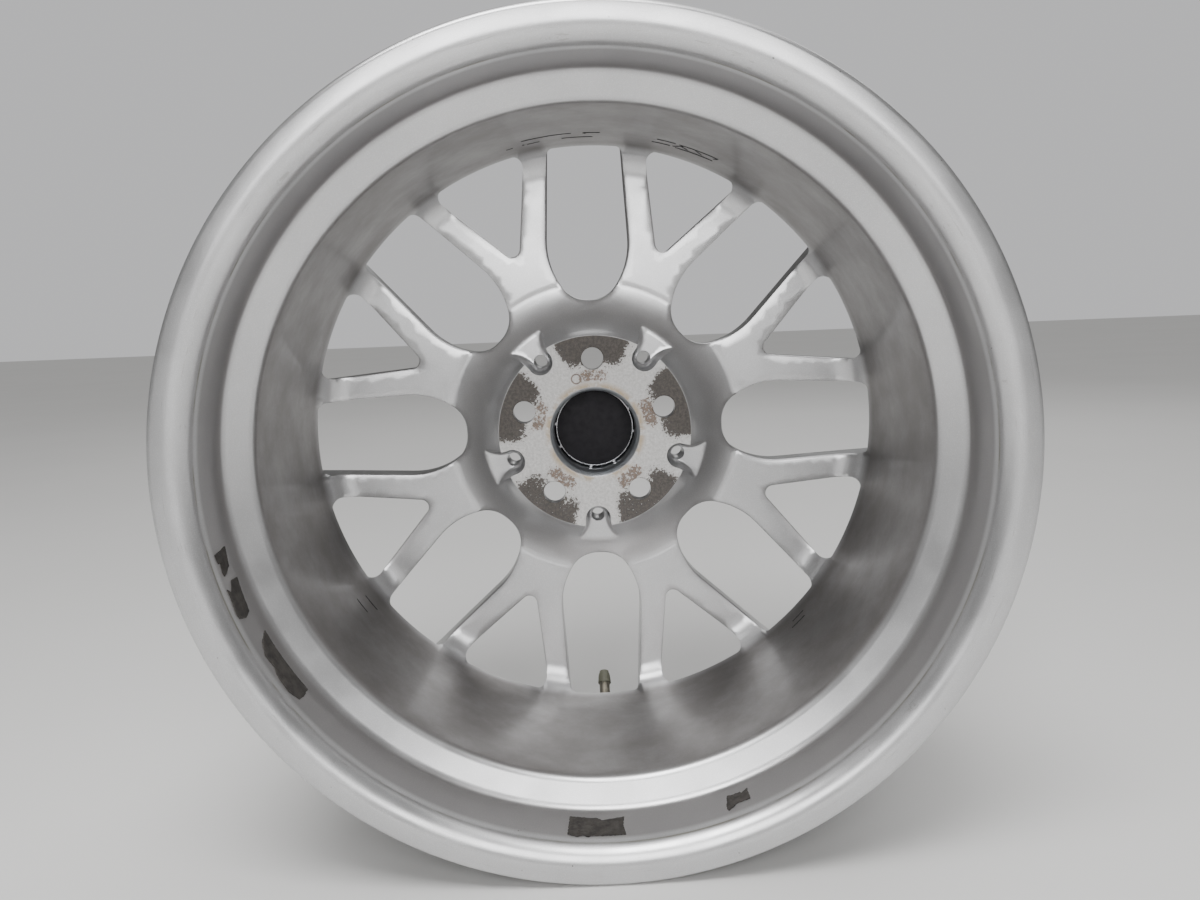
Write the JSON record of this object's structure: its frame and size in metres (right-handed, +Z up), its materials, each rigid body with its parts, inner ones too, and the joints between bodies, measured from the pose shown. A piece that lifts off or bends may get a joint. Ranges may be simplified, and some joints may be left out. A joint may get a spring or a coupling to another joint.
{
  "type": "forged racing wheel rim",
  "caption": "One-piece forged car wheel with Y-shaped spokes, a drop-centre rim, a clamp-in tyre valve, a clip-in centre cap and old balance-weight tape.",
  "frame": {"origin": "middle of the rim, on the axle and halfway between the outer faces of the two flanges", "axes": "+Y along the axle towards the kerb (front) side, -Y towards the hub the wheel bolts to, +Z up, the valve at -Z"},
  "size_m": [0.4715, 0.216, 0.4716],
  "materials": {
    "silver_forging": "semi-gloss silver paint over forged aluminium, bare and corroded on the mounting face",
    "cap_plastic": "moulded black plastic",
    "clip_steel": "bright spring steel",
    "foam_pad": "white double-sided foam",
    "cap_face": "silver painted disc",
    "valve_metal": "dull nickel-plated brass",
    "black_rubber": "matte black rubber",
    "zinc_steel": "dull zinc-plated steel",
    "core_brass": "machined brass",
    "spring_steel": "bright spring wire",
    "valve_cap_plastic": "dusty olive-grey moulded plastic",
    "foam_tape": "torn dark foam tape with a rough face",
    "tape_film": "thin black glue and film left by old tape"
  },
  "bodies": {
    "wheel": {"wheel_forging": "silver_forging", "valve_stem": "valve_metal", "valve_grommet": "black_rubber", "valve_washer": "zinc_steel", "valve_nut": "zinc_steel", "valve_core_plug": "core_brass", "valve_core_seal": "black_rubber", "valve_core_spring": "spring_steel", "weight_tape_1": "foam_tape", "weight_tape_2": "foam_tape", "weight_tape_3": "foam_tape", "weight_tape_4": "foam_tape", "weight_tape_5": "foam_tape", "tape_trace_1": "tape_film", "tape_trace_2": "tape_film", "tape_trace_3": "tape_film", "tape_trace_4": "tape_film"},
    "centre_cap": {"centre_cap_shell": "cap_plastic", "centre_cap_clip_ring": "clip_steel", "centre_cap_adhesive": "foam_pad", "centre_cap_face": "cap_face"},
    "valve_cap_lift": {"valve_cap_seal": "black_rubber"},
    "valve_cap_turn": {"valve_cap": "valve_cap_plastic"},
    "valve_pin": {"valve_core_pin": "core_brass", "valve_pin_seal": "black_rubber"}
  },
  "joints": [
    {"name": "centre_cap_pull", "type": "slide", "parent": "wheel", "child": "centre_cap", "axis": [0, 1, 0], "range_m": [0, 0.06]},
    {"name": "valve_cap_rise", "type": "slide", "parent": "wheel", "child": "valve_cap_lift", "axis": [0, 0.7071, 0.7071], "range_m": [0, 0.004]},
    {"name": "valve_cap_unscrew", "type": "hinge", "parent": "valve_cap_lift", "child": "valve_cap_turn", "pos_m": [0, 0.0756, -0.2061], "axis": [0, 0.7071, 0.7071], "range_deg": [0, 1800]},
    {"name": "valve_pin_press", "type": "slide", "parent": "wheel", "child": "valve_pin", "axis": [0, -0.7071, -0.7071], "range_m": [0, 0.0012], "stiffness_N_per_m": 200, "springref_m": -0.005, "deforming": ["valve_core_spring"]}
  ],
  "couplings": [
    {"joint": "valve_cap_unscrew", "follows": "valve_cap_rise", "rad_per_m": 7854}
  ]
}
